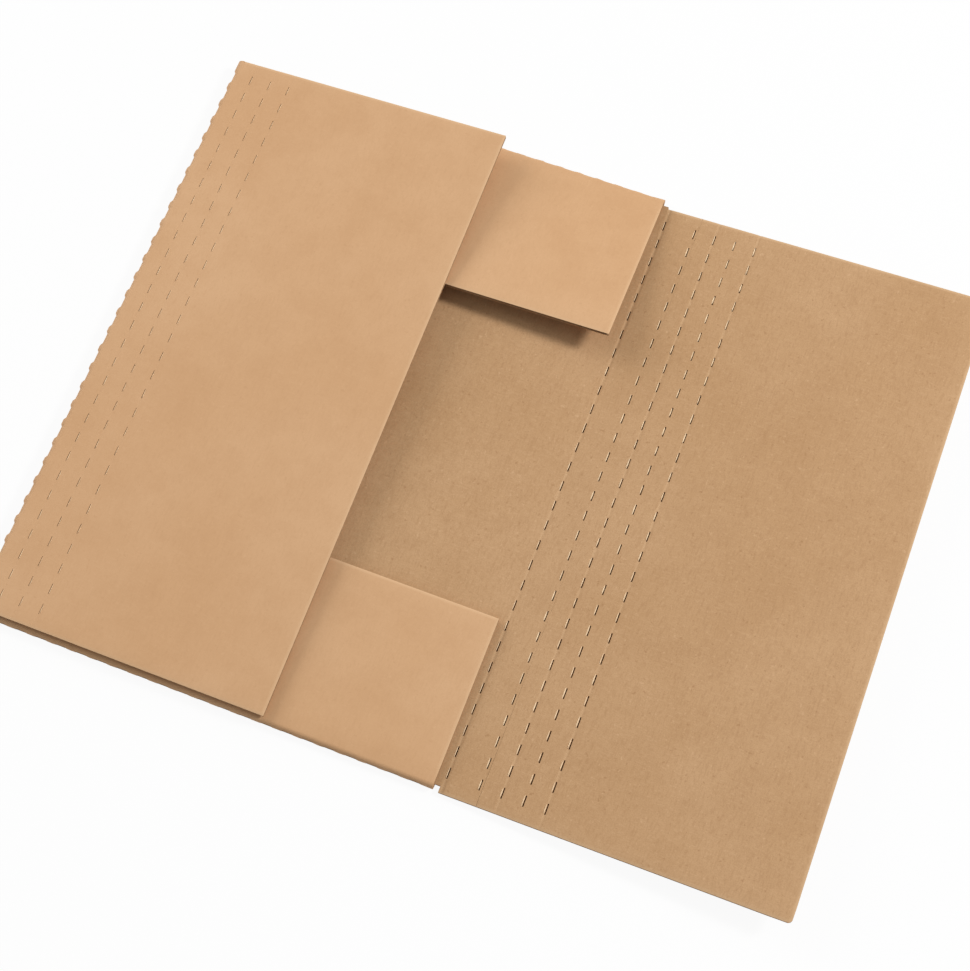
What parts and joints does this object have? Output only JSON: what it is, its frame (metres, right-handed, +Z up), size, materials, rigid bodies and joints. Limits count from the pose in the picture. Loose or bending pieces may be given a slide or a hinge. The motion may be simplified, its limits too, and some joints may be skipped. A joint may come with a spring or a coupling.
{
  "type": "wraparound mailer",
  "caption": "Corrugated board wraparound mailer, lying partly folded: base panel with folded end flaps, one wing folded over them, the other open with perforated depth scores.",
  "frame": {"origin": "centre of the base panel's underside, between the two wing creases", "axes": "+X across the creases, from the folded wing to the open one; +Y along the creases; +Z up, out of the base panel's inner face"},
  "size_m": [0.4878, 0.3836, 0.022],
  "materials": {
    "kraft_board": "matt kraft liner, a little lighter and smoother outside, fluted between the liners"
  },
  "bodies": {
    "base": {"base_and_end_flaps": "kraft_board"},
    "left_wing": {"left_wing": "kraft_board"},
    "right_wall": {"right_side_wall": "kraft_board"},
    "right_lid": {"right_wing_lid": "kraft_board"}
  },
  "joints": [
    {"name": "left_wing_fold", "type": "hinge", "parent": "base", "child": "left_wing", "pos_m": [-0.14633, 0, 0.00495], "axis": [0, -1, 0], "range_deg": [0, 176]},
    {"name": "right_wing_fold", "type": "hinge", "parent": "base", "child": "right_wall", "pos_m": [0.14288, 0, 0.003], "axis": [0, -1, 0], "range_deg": [-3.9, 86.1]},
    {"name": "right_depth_fold", "type": "hinge", "parent": "right_wall", "child": "right_lid", "pos_m": [0.16188, 0, 0.0043], "axis": [0, -1, 0], "range_deg": [0, 88]}
  ]
}
